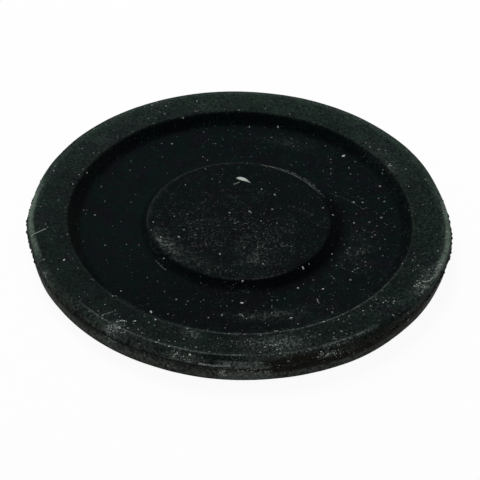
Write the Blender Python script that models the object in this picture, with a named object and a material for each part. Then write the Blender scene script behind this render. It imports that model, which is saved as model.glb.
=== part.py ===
"""Rubber diaphragm for a cistern flush valve: one moulded disc, turned about +Z, in metres.

The disc lies on its flat underside with its axis on Z. From the middle outwards its upper side has a low
round boss, a sunken ring that flexes, and a raised rim that the valve's cap clamps. Outside the rim's land
a shoulder falls away to the side wall. A thin ridge runs round that wall where the two halves of the mould
met, and below it the wall draws in to the foot.
"""

import math

import bmesh
import bpy
from mathutils import Matrix, Vector

MM = 0.001

# Overall sizes
OUTER_DIAMETER = 50.0 * MM
RIM_HEIGHT = 3.3 * MM

# Rim: the land is its flat top, and the shoulder falls away outside it
LAND_WIDTH = 3.65 * MM
RIM_WALL_RUN = 1.4 * MM
SHOULDER_WIDTH = 0.7 * MM
SHOULDER_FALL = 0.22 * MM

# Side wall, with the ridge that the parting line of the mould leaves round it
UPPER_WALL_RUN = 0.1 * MM
RIDGE_DEPTH = 0.95 * MM
RIDGE_WIDTH = 0.15 * MM
RIDGE_TOP_FALL = 0.04 * MM
RIDGE_EDGE_HEIGHT = 0.12 * MM
RIDGE_UNDER_WIDTH = 0.2 * MM
RIDGE_UNDER_FALL = 0.06 * MM
LOWER_WALL_RUN = 0.25 * MM

# Sunken ring that flexes
WEB_DEPTH = 1.25 * MM

# Boss
BOSS_DIAMETER = 21.3 * MM
BOSS_DROP = 0.5 * MM
BOSS_WALL_RUN = 1.2 * MM

# Rounds on outside corners and fillets in inside corners
BOSS_EDGE_ROUND = 0.35 * MM
BOSS_FOOT_FILLET = 0.9 * MM
RIM_FOOT_FILLET = 1.1 * MM
RIM_INNER_ROUND = 0.3 * MM
LAND_OUTER_ROUND = 0.8 * MM
SHOULDER_ROUND = 0.35 * MM
RIDGE_FILLET = 0.06 * MM
RIDGE_EDGE_ROUND = 0.05 * MM
FOOT_ROUND = 0.15 * MM

# Facets
TURN_STEPS = 96
ARC_STEPS = 3
MOST_OF_EDGE = 0.45
WELD_DISTANCE = 0.001 * MM
SHARP_ANGLE = math.radians(40)

# Rubber
RUBBER_COLOUR = (0.012, 0.018, 0.016, 1.0)
RUBBER_ROUGHNESS = 0.62


def section_corners():
    """The half section's corners as (radius, height, round), from the axis on top to the axis below."""
    land = RIM_HEIGHT
    web = land - WEB_DEPTH
    boss = land - BOSS_DROP
    ridge_root = land - RIDGE_DEPTH
    ridge_top = ridge_root - RIDGE_TOP_FALL
    ridge_bottom = ridge_top - RIDGE_EDGE_HEIGHT
    outer_radius = OUTER_DIAMETER / 2
    upper_wall_radius = outer_radius - RIDGE_WIDTH
    shoulder_radius = upper_wall_radius - UPPER_WALL_RUN
    land_outer_radius = shoulder_radius - SHOULDER_WIDTH
    land_inner_radius = land_outer_radius - LAND_WIDTH
    rim_foot_radius = land_inner_radius - RIM_WALL_RUN
    boss_radius = BOSS_DIAMETER / 2
    lower_wall_radius = outer_radius - RIDGE_UNDER_WIDTH
    return [
        (0.0, boss, 0.0),
        (boss_radius, boss, BOSS_EDGE_ROUND),
        (boss_radius + BOSS_WALL_RUN, web, BOSS_FOOT_FILLET),
        (rim_foot_radius, web, RIM_FOOT_FILLET),
        (land_inner_radius, land, RIM_INNER_ROUND),
        (land_outer_radius, land, LAND_OUTER_ROUND),
        (shoulder_radius, land - SHOULDER_FALL, SHOULDER_ROUND),
        (upper_wall_radius, ridge_root, RIDGE_FILLET),
        (outer_radius, ridge_top, RIDGE_EDGE_ROUND),
        (outer_radius, ridge_bottom, RIDGE_EDGE_ROUND),
        (lower_wall_radius, ridge_bottom - RIDGE_UNDER_FALL, RIDGE_FILLET),
        (lower_wall_radius - LOWER_WALL_RUN, 0.0, FOOT_ROUND),
        (0.0, 0.0, 0.0),
    ]


def rounded_corner(before, corner, after, radius):
    """The points of an arc of this radius that replaces a corner, held within the corner's two edges."""
    to_before = before - corner
    to_after = after - corner
    half_angle = to_before.angle(to_after) / 2
    room = MOST_OF_EDGE * min(to_before.length, to_after.length)
    reach = min(radius / math.tan(half_angle), room)
    held_radius = reach * math.tan(half_angle)
    middle = (to_before.normalized() + to_after.normalized()).normalized()
    centre = corner + middle * (held_radius / math.sin(half_angle))
    start = corner + to_before.normalized() * reach - centre
    sweep = start.angle_signed(corner + to_after.normalized() * reach - centre)
    arc = []
    for step in range(ARC_STEPS + 1):
        turned = start.copy()
        turned.rotate(Matrix.Rotation(-sweep * step / ARC_STEPS, 2))
        arc.append(centre + turned)
    return arc


def half_section():
    """The half section as one run of points, with every corner rounded as it asks."""
    corners = section_corners()
    places = [Vector((radius, height)) for radius, height, _ in corners]
    points = [places[0]]
    for index in range(1, len(corners) - 1):
        arc = rounded_corner(places[index - 1], places[index], places[index + 1], corners[index][2])
        points.extend(arc)
    points.append(places[-1])
    return points


def turned_mesh(name, points):
    """A closed mesh made by spinning an open run of (radius, height) points about Z."""
    bm = bmesh.new()
    verts = [bm.verts.new((point.x, 0.0, point.y)) for point in points]
    edges = [bm.edges.new(pair) for pair in zip(verts, verts[1:])]
    bmesh.ops.spin(
        bm,
        geom=verts + edges,
        cent=(0.0, 0.0, 0.0),
        axis=(0.0, 0.0, 1.0),
        angle=math.tau,
        steps=TURN_STEPS,
        use_merge=True,
    )
    bmesh.ops.remove_doubles(bm, verts=bm.verts, dist=WELD_DISTANCE)
    bmesh.ops.recalc_face_normals(bm, faces=bm.faces)
    mesh = bpy.data.meshes.new(name)
    bm.to_mesh(mesh)
    bm.free()
    mesh.shade_smooth()
    mesh.set_sharp_from_angle(angle=SHARP_ANGLE)
    return mesh


def black_rubber():
    """Dull black rubber with a slight green cast."""
    material = bpy.data.materials.new("black_rubber")
    material.use_nodes = True
    shader = material.node_tree.nodes["Principled BSDF"]
    shader.inputs["Base Color"].default_value = RUBBER_COLOUR
    shader.inputs["Roughness"].default_value = RUBBER_ROUGHNESS
    shader.inputs["Metallic"].default_value = 0.0
    return material


def main():
    for old in list(bpy.data.objects):
        bpy.data.objects.remove(old)
    mesh = turned_mesh("diaphragm", half_section())
    mesh.materials.append(black_rubber())
    diaphragm = bpy.data.objects.new("diaphragm", mesh)
    bpy.context.scene.collection.objects.link(diaphragm)


main()
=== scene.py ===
# %% [markdown]
# # A rubber diaphragm for a flush valve
# The real thing is one disc of black rubber, pressed in a hot two-part mould. This lesson dresses it: the
# disc itself, the thin flash that the mould leaves at its parting line, and the talc that was dusted on so
# that the discs don't stick together in their box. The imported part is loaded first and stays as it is,
# because everything here takes its size from it.

# %% Load the part that this scene dresses
import math

import bmesh
import bpy
import numpy as np
from mathutils import Matrix, Vector
from mathutils.bvhtree import BVHTree


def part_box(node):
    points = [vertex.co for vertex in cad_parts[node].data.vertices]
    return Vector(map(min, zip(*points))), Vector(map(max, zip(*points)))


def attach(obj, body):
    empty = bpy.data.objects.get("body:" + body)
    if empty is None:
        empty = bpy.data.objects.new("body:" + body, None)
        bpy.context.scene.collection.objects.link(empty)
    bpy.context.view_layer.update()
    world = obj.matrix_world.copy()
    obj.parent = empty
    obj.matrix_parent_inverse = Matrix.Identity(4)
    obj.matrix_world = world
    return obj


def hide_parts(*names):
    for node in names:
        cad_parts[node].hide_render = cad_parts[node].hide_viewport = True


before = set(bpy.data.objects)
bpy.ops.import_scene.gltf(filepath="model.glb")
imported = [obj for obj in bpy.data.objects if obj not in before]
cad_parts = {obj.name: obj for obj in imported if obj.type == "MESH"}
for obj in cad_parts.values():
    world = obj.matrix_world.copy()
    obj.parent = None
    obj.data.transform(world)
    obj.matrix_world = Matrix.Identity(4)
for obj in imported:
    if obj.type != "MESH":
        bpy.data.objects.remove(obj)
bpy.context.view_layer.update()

MM = 0.001
part_lowest, part_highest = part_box("diaphragm")
outer_radius = (part_highest.x - part_lowest.x) / 2
rim_height = part_highest.z - part_lowest.z
print(f"part: {2 * outer_radius / MM:.1f} mm across, {rim_height / MM:.2f} mm high")

# %% [markdown]
# ## Where the camera stands
# The photograph looks down on the disc at 40 degrees through a long lens, and is turned a little to one
# side. The camera comes first, because the marks on the rubber are placed by the pixel where they show: a
# ray from the camera through that pixel finds the spot on the disc, so a mark still lies on the rubber
# when the disc is seen from elsewhere.

# %% The camera
FRAME_PIXELS = 480
SENSOR_WIDTH = 36 * MM
CAMERA_DISTANCE = 300 * MM
CAMERA_ELEVATION = math.radians(39.94)
CAMERA_ROLL = math.radians(1.78)
OUTER_RADIUS_PIXELS = 212.0
DISC_MIDDLE_PIXEL = (240.13, 216.46)
NEAREST_SEEN = 10 * MM

focal_pixels = OUTER_RADIUS_PIXELS * CAMERA_DISTANCE / outer_radius
disc_middle = Vector((0, 0, rim_height))
to_disc = Vector((0, math.cos(CAMERA_ELEVATION), -math.sin(CAMERA_ELEVATION)))
level_right = Vector((1, 0, 0))
camera_right = Matrix.Rotation(-CAMERA_ROLL, 3, to_disc) @ level_right
camera_up = camera_right.cross(to_disc)
camera_place = disc_middle - to_disc * CAMERA_DISTANCE
off_middle = Vector(DISC_MIDDLE_PIXEL) - Vector((FRAME_PIXELS / 2, FRAME_PIXELS / 2))
metres_per_pixel = CAMERA_DISTANCE / focal_pixels
aim = disc_middle - (camera_right * off_middle.x - camera_up * off_middle.y) * metres_per_pixel


def camera_axes():
    """The camera's right, up and backward axes once it is turned to its aim."""
    backward = (camera_place - aim).normalized()
    right = camera_up.cross(backward).normalized()
    return right, backward.cross(right), backward


def make_camera():
    """A camera with its axes as the columns of its matrix."""
    data = bpy.data.cameras.new("product_camera")
    data.sensor_width = SENSOR_WIDTH / MM
    data.lens = focal_pixels / FRAME_PIXELS * data.sensor_width
    data.clip_start = NEAREST_SEEN
    camera = bpy.data.objects.new("product_camera", data)
    camera.matrix_world = Matrix.Translation(camera_place) @ Matrix(camera_axes()).transposed().to_4x4()
    bpy.context.scene.collection.objects.link(camera)
    bpy.context.scene.camera = camera
    return camera


def pixel_ray(x, y):
    """The direction from the camera through a pixel of the photograph's frame."""
    right, up, backward = camera_axes()
    half = FRAME_PIXELS / 2
    return (right * (x - half) - up * (y - half) - backward * focal_pixels).normalized()


camera = make_camera()
print(f"camera: {camera.data.lens:.0f} mm lens at {CAMERA_DISTANCE:.2f} m")

# %% [markdown]
# ## Small helpers for node trees
# Geometry, shaders and groups are all trees of nodes. These helpers add a node with its options and its
# inputs in one call, so that each tree below reads from its inputs to its output.

# %% Helpers for node trees


def add_node(tree, kind, inputs=None, **options):
    """Adds a node. Each input is a value or another node's socket, by the input's name or number."""
    node = tree.nodes.new(kind)
    for name, value in options.items():
        setattr(node, name, value)
    for name, value in (inputs or {}).items():
        if isinstance(value, bpy.types.NodeSocket):
            tree.links.new(value, node.inputs[name])
        else:
            node.inputs[name].default_value = value
    return node


def maths(tree, operation, *values, clamp=False):
    """One step of arithmetic on numbers."""
    node = add_node(tree, "ShaderNodeMath", dict(enumerate(values)), operation=operation, use_clamp=clamp)
    return node.outputs[0]


def ramp(tree, value, start, end, low=0.0, high=1.0, smooth=True):
    """Carries a value from the range start..end to low..high, held at both ends."""
    inputs = {"Value": value, "From Min": start, "From Max": end, "To Min": low, "To Max": high}
    kind = "SMOOTHSTEP" if smooth else "LINEAR"
    return add_node(tree, "ShaderNodeMapRange", inputs, interpolation_type=kind).outputs[0]


def mix_colours(tree, share, first, second):
    """The first colour where the share is 0, and the second where it is 1."""
    node = tree.nodes.new("ShaderNodeMix")
    node.data_type = "RGBA"
    factor, first_in, second_in = node.inputs[0], node.inputs[6], node.inputs[7]
    for socket, value in ((factor, share), (first_in, first), (second_in, second)):
        if isinstance(value, bpy.types.NodeSocket):
            tree.links.new(value, socket)
        else:
            socket.default_value = value
    return node.outputs[2]


def new_tree(kind, name, inputs, outputs):
    """An empty tree with named inputs, as (name, socket type, value), and outputs, as (name, socket type)."""
    tree = bpy.data.node_groups.new(name, kind)
    for in_out, rows in (("INPUT", inputs), ("OUTPUT", outputs)):
        for row_name, socket_type, *default in rows:
            kind_name = "NodeSocket" + socket_type
            socket = tree.interface.new_socket(name=row_name, in_out=in_out, socket_type=kind_name)
            if default:
                socket.default_value = default[0]
    start = tree.nodes.new("NodeGroupInput")
    end = tree.nodes.new("NodeGroupOutput")
    return tree, start.outputs, end.inputs


def grow(name, mesh, tree, values):
    """A new object whose mesh is what a tree of Geometry Nodes makes from another mesh, made plain."""
    host = bpy.data.objects.new(name, mesh)
    bpy.context.scene.collection.objects.link(host)
    modifier = host.modifiers.new(tree.name, "NODES")
    modifier.node_group = tree
    identifiers = {row.name: row.identifier for row in tree.interface.items_tree if row.in_out == "INPUT"}
    for input_name, value in values.items():
        modifier[identifiers[input_name]] = value
    graph = bpy.context.evaluated_depsgraph_get()
    made = bpy.data.meshes.new_from_object(host.evaluated_get(graph), depsgraph=graph)
    host.modifiers.remove(modifier)
    host.data = made
    made.name = name
    triangles = sum(len(face.vertices) - 2 for face in made.polygons)
    print(f"{name}: {triangles} triangles")
    return host


# %% [markdown]
# ## What the rubber's surface is made of
# Two effects are groups of shader nodes, which a material uses by setting their inputs. The moulded grain is
# the fine pitting that the steel mould leaves. The talc is a haze of powder with separate grains in it. Each
# group works in the object's own coordinates, in metres, and gives out masks and heights, and the material
# decides what colour they become.

# %% The moulded grain


def noise(tree, vector, scale, detail=2.0, roughness=0.5):
    """Soft blots at random, about so many to a metre. Output 0 is one number, and Color is three."""
    inputs = {"Vector": vector, "Scale": scale, "Detail": detail, "Roughness": roughness}
    return add_node(tree, "ShaderNodeTexNoise", inputs).outputs


def moulded_grain_group():
    """Fine pits, slow mottling and a slow change of tint, each from 0 to 1."""
    inputs = (("Vector", "Vector"), ("Grain Size", "Float", 0.2 * MM), ("Mottle Size", "Float", 4 * MM))
    outputs = (("Height", "Float"), ("Tone", "Float"), ("Tint", "Float"))
    tree, given, result = new_tree("ShaderNodeTree", "Moulded Grain", inputs, outputs)
    grain_scale = maths(tree, "DIVIDE", 1.0, given["Grain Size"])
    mottle_scale = maths(tree, "DIVIDE", 1.0, given["Mottle Size"])
    grain = noise(tree, given["Vector"], grain_scale, roughness=0.6)[0]
    mottle = noise(tree, given["Vector"], mottle_scale, detail=4.0, roughness=0.65)["Color"]
    tone, tint, _ = add_node(tree, "ShaderNodeSeparateColor", {"Color": mottle}).outputs
    tree.links.new(ramp(tree, grain, 0.37, 0.63, smooth=False), result["Height"])
    tree.links.new(ramp(tree, tone, 0.30, 0.70, smooth=False), result["Tone"])
    tree.links.new(ramp(tree, tint, 0.35, 0.65, smooth=False), result["Tint"])
    return tree


moulded_grain = moulded_grain_group()
print(f"shader group: {moulded_grain.name}, {len(moulded_grain.nodes)} nodes")

# %% [markdown]
# A grain of talc is a dot with a soft edge. A Voronoi pattern cuts space into cells, each with a colour of
# its own at random, so one channel of that colour can say whether the cell holds a grain, the next how wide
# the grain is and the last how bright. Three layers, from faint dust to coarse grains, keep the eye from
# seeing the cells. Between the grains lies a faint frost of powder, which is plain noise. Where talc is
# thick its grains clump, so there they are brighter.

# %% The grains of the talc
# Each layer: how far apart its cells are, in grain spacings, how many of them hold a grain for each unit of
# loose talc, and how bright its brightest grain is
GRAIN_LAYERS = ((0.6, 1.0, 0.22), (1.0, 0.8, 0.48), (1.8, 0.14, 0.60))
DULLEST_GRAIN = 0.06
NARROWEST_GRAIN = 0.16
WIDEST_GRAIN = 0.44


def speck_layer(tree, vector, spacing, amount, brightest):
    """A mask of round grains, at most one to a cell. A higher amount puts one in more of the cells."""
    scale = maths(tree, "DIVIDE", 1.0, spacing)
    cells = add_node(tree, "ShaderNodeTexVoronoi", {"Vector": vector, "Scale": scale}).outputs
    chance, width, shine = add_node(tree, "ShaderNodeSeparateColor", {"Color": cells["Color"]}).outputs
    kept = maths(tree, "LESS_THAN", chance, amount)
    width = maths(tree, "POWER", width, 2.0)
    reach = ramp(tree, width, 0.0, 1.0, NARROWEST_GRAIN, WIDEST_GRAIN, smooth=False)
    dot = ramp(tree, cells["Distance"], reach, maths(tree, "MULTIPLY", reach, 0.3))
    shine = maths(tree, "POWER", shine, 2.0)
    brightness = ramp(tree, shine, 0.0, 1.0, brightest * DULLEST_GRAIN, brightest, smooth=False)
    return maths(tree, "MULTIPLY", maths(tree, "MULTIPLY", dot, kept), brightness)


# %% The talc
FROST_BRIGHTNESS = 0.06


def talc_group():
    """Powder on rubber: a soft haze where it is rubbed in, and frost and grains that lie loose."""
    inputs = (
        ("Vector", "Vector"),
        ("Amount", "Float", 0.3),
        ("Stray Grains", "Float", 0.3),
        ("Clump Size", "Float", 1.2 * MM),
        ("Grain Spacing", "Float", 0.3 * MM),
    )
    outputs = (("Haze", "Float"), ("Specks", "Float"), ("Height", "Float"))
    tree, given, result = new_tree("ShaderNodeTree", "Talc", inputs, outputs)
    vector = given["Vector"]
    clump_scale = maths(tree, "DIVIDE", 1.0, given["Clump Size"])
    clumps = ramp(tree, noise(tree, vector, clump_scale, detail=6.0, roughness=0.75)[0], 0.36, 0.66)
    uneven = ramp(tree, clumps, 0.0, 1.0, 0.35, 1.5, smooth=False)
    powder_scale = maths(tree, "DIVIDE", 1.0, given["Grain Spacing"])
    powder = ramp(tree, noise(tree, vector, powder_scale)[0], 0.40, 0.68, 0.1, 2.6)
    rubbed_in = maths(tree, "MULTIPLY", given["Amount"], uneven)
    haze = maths(tree, "MULTIPLY", rubbed_in, powder, clamp=True)
    loose = maths(tree, "MULTIPLY", maths(tree, "ADD", given["Amount"], given["Stray Grains"]), uneven)
    drift_scale = maths(tree, "DIVIDE", 0.4, given["Clump Size"])
    drift = ramp(tree, noise(tree, vector, drift_scale)[0], 0.40, 0.62, 0.2, 1.6)
    frost_scale = maths(tree, "DIVIDE", 1.1, given["Grain Spacing"])
    frost = noise(tree, vector, frost_scale, detail=1.5, roughness=0.6)[0]
    frost = ramp(tree, frost, 0.55, 0.74, 0.0, FROST_BRIGHTNESS)
    specks = maths(tree, "MULTIPLY", frost, maths(tree, "MULTIPLY", drift, loose))
    for widening, share, brightest in GRAIN_LAYERS:
        spacing = maths(tree, "MULTIPLY", given["Grain Spacing"], widening)
        layer = speck_layer(tree, vector, spacing, maths(tree, "MULTIPLY", loose, share), brightest)
        specks = maths(tree, "MAXIMUM", specks, layer)
    clumping = ramp(tree, loose, 0.1, 0.7, 0.7, 1.7, smooth=False)
    specks = maths(tree, "MULTIPLY", specks, clumping, clamp=True)
    tree.links.new(haze, result["Haze"])
    tree.links.new(specks, result["Specks"])
    tree.links.new(maths(tree, "ADD", specks, maths(tree, "MULTIPLY", haze, 0.5)), result["Height"])
    return tree


talc_on_rubber = talc_group()
print(f"shader group: {talc_on_rubber.name}, {len(talc_on_rubber.nodes)} nodes")

# %% [markdown]
# ## Black rubber
# Carbon black makes the rubber nearly as dark as soot, with next to no gloss. Its upper faces have a thin
# film, blue-green in one place and mauve in the next, whose amount is also painted light, so that what faces
# up is lighter. The land on top of the rim has bloomed greener than that, with a painted sheen that is
# strongest at the back, and the outer wall is dusty, with brown soil in places. Thin pale lines along the
# edges are painted highlights, and a smooth pale band on the shoulder at the two sides is a painted
# reflection. The walls that face away from the light stay black, as painted shade. An attribute on the mesh
# says how much there is of each, so the material only mixes them, one over the other, and breaks each up
# with the moulded grain.

# %% The rubber's material
RUBBER_BLACK = (0.0003, 0.0006, 0.0010, 1)
# The film's colours, lighter than the black, also paint light on what faces up
FILM_AND_LIGHT_GREEN = (0.0016, 0.0066, 0.0062, 1)
FILM_AND_LIGHT_MAUVE = (0.0036, 0.0044, 0.0068, 1)
# The bloom's colours, which also paint a sheen on the land
BLOOM_AND_SHEEN_GREEN = (0.0158, 0.0280, 0.0215, 1)
BLOOM_AND_SHEEN_GREY = (0.0165, 0.0240, 0.0235, 1)
# Pale dust, which also paints the highlights along the edges
DUST_AND_HIGHLIGHT_PALE = (0.0810, 0.0920, 0.0820, 1)
SOIL_BROWN = (0.0120, 0.0092, 0.0068, 1)
# A painted reflection: the pale band on the shoulder at the two sides
PAINTED_REFLECTION_PALE = (0.098, 0.135, 0.108, 1)
HAZE_PALE = (0.112, 0.138, 0.124, 1)
TALC_WHITE = (0.55, 0.59, 0.55, 1)
GRAIN_SIZE = 0.36 * MM
MOTTLE_SIZE = 2.6 * MM
CLUMP_SIZE = 1.3 * MM
GRAIN_SPACING = 0.30 * MM
GRAIN_DEPTH = 0.010 * MM
RUBBER_GLOSS = 0.012


def painted(tree, name):
    """The number that the mesh carries under this name."""
    return add_node(tree, "ShaderNodeAttribute", attribute_name=name).outputs["Fac"]


def rubber_material(name):
    """Black rubber under the layers that the attributes ask for, with loose talc over them all."""
    material = bpy.data.materials.new(name)
    material.use_nodes = True
    tree = material.node_tree
    shader = tree.nodes["Principled BSDF"].inputs
    place = add_node(tree, "ShaderNodeTexCoord").outputs["Object"]
    grain_inputs = {"Vector": place, "Grain Size": GRAIN_SIZE, "Mottle Size": MOTTLE_SIZE}
    grain = add_node(tree, "ShaderNodeGroup", grain_inputs, node_tree=moulded_grain).outputs
    talc_inputs = {
        "Vector": place,
        "Amount": painted(tree, "talc"),
        "Stray Grains": painted(tree, "strays"),
        "Clump Size": CLUMP_SIZE,
        "Grain Spacing": GRAIN_SPACING,
    }
    talc = add_node(tree, "ShaderNodeGroup", talc_inputs, node_tree=talc_on_rubber).outputs
    mottled = ramp(tree, grain["Tone"], 0.0, 1.0, 0.65, 1.35, smooth=False)
    pitted = ramp(tree, grain["Height"], 0.0, 1.0, 0.0, 0.98, smooth=False)
    softly_pitted = ramp(tree, grain["Height"], 0.0, 1.0, 0.25, 1.75, smooth=False)
    faintly_pitted = ramp(tree, grain["Height"], 0.0, 1.0, 0.55, 1.45, smooth=False)
    mauve = ramp(tree, grain["Tint"], 0.45, 0.95)
    # Besides their own colours, the film and the bloom paint light and sheen, the dust paints highlights
    # along the edges, and the pale shoulder band is a painted reflection
    layers = (
        ("film_and_painted_light", mix_colours(tree, mauve, FILM_AND_LIGHT_GREEN, FILM_AND_LIGHT_MAUVE), pitted),
        ("bloom_and_sheen", mix_colours(tree, mauve, BLOOM_AND_SHEEN_GREEN, BLOOM_AND_SHEEN_GREY), softly_pitted),
        ("dust_and_highlights", DUST_AND_HIGHLIGHT_PALE, softly_pitted),
        ("painted_reflection", PAINTED_REFLECTION_PALE, faintly_pitted),
        ("soil", SOIL_BROWN, softly_pitted),
    )
    colour = RUBBER_BLACK
    for layer, layer_colour, pits in layers:
        broken = maths(tree, "MULTIPLY", mottled, pits)
        share = maths(tree, "MULTIPLY", painted(tree, layer), broken, clamp=True)
        colour = mix_colours(tree, share, colour, layer_colour)
    colour = mix_colours(tree, talc["Haze"], colour, HAZE_PALE)
    colour = mix_colours(tree, talc["Specks"], colour, TALC_WHITE)
    tree.links.new(colour, shader["Base Color"])
    tree.links.new(ramp(tree, grain["Height"], 0.0, 1.0, 0.55, 0.75, smooth=False), shader["Roughness"])
    height = maths(tree, "ADD", grain["Height"], talc["Height"])
    bump = add_node(tree, "ShaderNodeBump", {"Strength": 1.0, "Distance": GRAIN_DEPTH, "Height": height})
    tree.links.new(bump.outputs[0], shader["Normal"])
    shader["Specular IOR Level"].default_value = RUBBER_GLOSS
    shader["Metallic"].default_value = 0.0
    return material


black_rubber = rubber_material("black_rubber")
print("material:", black_rubber.name)

# %% [markdown]
# ## The disc
# A turned shape follows one rule: each point of its section goes round the axis. So the section is drawn
# once, as a line of corners, and Geometry Nodes do the rest. They round each corner, divide the long runs,
# bend a grid round the axis so that its columns are copies of the section, and let the rim wander by a
# few hundredths of a millimetre, as rubber does when it comes out of a hot mould.

# %% The section's corners
LAND_WIDTH = 3.65 * MM
RIM_WALL_RUN = 1.4 * MM
SHOULDER_WIDTH = 0.7 * MM
SHOULDER_FALL = 0.22 * MM
UPPER_WALL_RUN = 0.1 * MM
RIDGE_DEPTH = 0.95 * MM
RIDGE_WIDTH = 0.15 * MM
RIDGE_TOP_FALL = 0.04 * MM
RIDGE_EDGE_HEIGHT = 0.12 * MM
RIDGE_UNDER_WIDTH = 0.2 * MM
RIDGE_UNDER_FALL = 0.06 * MM
LOWER_WALL_RUN = 0.25 * MM
WEB_DEPTH = 1.25 * MM
BOSS_RADIUS = 10.65 * MM
BOSS_DROP = 0.5 * MM
BOSS_WALL_RUN = 1.2 * MM

web_height = rim_height - WEB_DEPTH
boss_height = rim_height - BOSS_DROP
ridge_root = rim_height - RIDGE_DEPTH
ridge_top = ridge_root - RIDGE_TOP_FALL
ridge_bottom = ridge_top - RIDGE_EDGE_HEIGHT
upper_wall_radius = outer_radius - RIDGE_WIDTH
shoulder_radius = upper_wall_radius - UPPER_WALL_RUN
land_outer_radius = shoulder_radius - SHOULDER_WIDTH
land_inner_radius = land_outer_radius - LAND_WIDTH
rim_foot_radius = land_inner_radius - RIM_WALL_RUN
lower_wall_radius = outer_radius - RIDGE_UNDER_WIDTH
foot_radius = lower_wall_radius - LOWER_WALL_RUN

THIN_STEP = 0.1 * MM
FINE_STEP = 0.22 * MM
EVEN_STEP = 0.6 * MM
WIDE_STEP = 6 * MM
EDGE_BAND = 0.6 * MM

# Each corner: its radius, its height, how much it is rounded, whether it lies on the parting ridge, and
# how far apart the points on the run after it may be. A flat run is cut a little before an edge, so that
# points there lie close enough for a thin line of talc.
section_corners = (
    (0.0, boss_height, 0.0, 0.0, EVEN_STEP),
    (BOSS_RADIUS - EDGE_BAND, boss_height, 0.0, 0.0, THIN_STEP),
    (BOSS_RADIUS, boss_height, 0.35 * MM, 0.0, FINE_STEP),
    (BOSS_RADIUS + BOSS_WALL_RUN, web_height, 0.9 * MM, 0.0, EVEN_STEP),
    (rim_foot_radius, web_height, 1.1 * MM, 0.0, FINE_STEP),
    (land_inner_radius, rim_height, 0.3 * MM, 0.0, THIN_STEP),
    (land_inner_radius + EDGE_BAND, rim_height, 0.0, 0.0, EVEN_STEP),
    (land_outer_radius - EDGE_BAND, rim_height, 0.0, 0.0, THIN_STEP),
    (land_outer_radius, rim_height, 0.8 * MM, 0.0, THIN_STEP),
    (shoulder_radius, rim_height - SHOULDER_FALL, 0.35 * MM, 0.0, THIN_STEP),
    (upper_wall_radius, ridge_root, 0.06 * MM, 0.0, FINE_STEP),
    (outer_radius, ridge_top, 0.05 * MM, 1.0, FINE_STEP),
    (outer_radius, ridge_bottom, 0.05 * MM, 1.0, FINE_STEP),
    (lower_wall_radius, ridge_bottom - RIDGE_UNDER_FALL, 0.06 * MM, 0.0, FINE_STEP),
    (foot_radius, 0.0, 0.15 * MM, 0.0, WIDE_STEP),
    (0.0, 0.0, 0.0, 0.0, WIDE_STEP),
)


def point_mesh(name, points, edges=(), **numbers):
    """A mesh of points and edges, with a number of each kind on every point."""
    mesh = bpy.data.meshes.new(name)
    mesh.from_pydata(points, edges, [])
    for attribute, values in numbers.items():
        mesh.attributes.new(attribute, "FLOAT", "POINT").data.foreach_set("value", values)
    return mesh


def chain(first, last):
    """The edges that join the points from the first number to the last, one after the other."""
    return [(i, i + 1) for i in range(first, last)]


radii, heights, rounds, ridges, steps = zip(*section_corners)
places = [(radius, 0, height) for radius, height in zip(radii, heights)]
section_edges = chain(0, len(places) - 1)
section = point_mesh("section", places, section_edges, rounding=rounds, ridge=ridges, step=steps)
print(f"section: {len(section_corners)} corners")

# %% Nodes that more than one tree here uses


def field(tree, name):
    """A number that each point carries under this name."""
    return add_node(tree, "GeometryNodeInputNamedAttribute", {"Name": name}, data_type="FLOAT").outputs[0]


def stored(tree, geometry, name, value, domain="POINT"):
    """Geometry that carries a number under this name."""
    inputs = {"Geometry": geometry, "Name": name, "Value": value}
    return add_node(tree, "GeometryNodeStoreNamedAttribute", inputs, domain=domain).outputs[0]


def centred_noise(tree, vector, scale, detail=2.0):
    """Noise from about -0.5 to 0.5."""
    return maths(tree, "SUBTRACT", noise(tree, vector, scale, detail)[0], 0.5)


def made_plain(tree, geometry, material):
    """Plain faces with a material, to end a tree with."""
    plain = add_node(tree, "GeometryNodeRealizeInstances", {"Geometry": geometry}).outputs[0]
    inputs = {"Geometry": plain, "Material": material}
    return add_node(tree, "GeometryNodeSetMaterial", inputs).outputs[0]


# %% The tree that turns a section round its axis
SEAM_GAP = 0.001 * MM


def rounded_line(tree, line, arc_steps):
    """The section as a curve with its corners rounded and its long runs divided."""
    curve = add_node(tree, "GeometryNodeMeshToCurve", {"Mesh": line}).outputs[0]
    inputs = {"Curve": curve, "Count": arc_steps, "Radius": field(tree, "rounding"), "Limit Radius": True}
    curve = add_node(tree, "GeometryNodeFilletCurve", inputs, mode="POLY").outputs[0]
    here = add_node(tree, "GeometryNodeInputPosition").outputs[0]
    index = add_node(tree, "GeometryNodeInputIndex").outputs[0]
    after = maths(tree, "ADD", index, 1)
    next_point = add_node(
        tree, "GeometryNodeFieldAtIndex", {"Value": here, "Index": after}, data_type="FLOAT_VECTOR"
    ).outputs[0]
    to_next = {0: here, 1: next_point}
    run = add_node(tree, "ShaderNodeVectorMath", to_next, operation="DISTANCE").outputs["Value"]
    cuts = maths(tree, "FLOOR", maths(tree, "DIVIDE", run, field(tree, "step")))
    return add_node(tree, "GeometryNodeSubdivideCurve", {"Curve": curve, "Cuts": cuts}).outputs[0]


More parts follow.
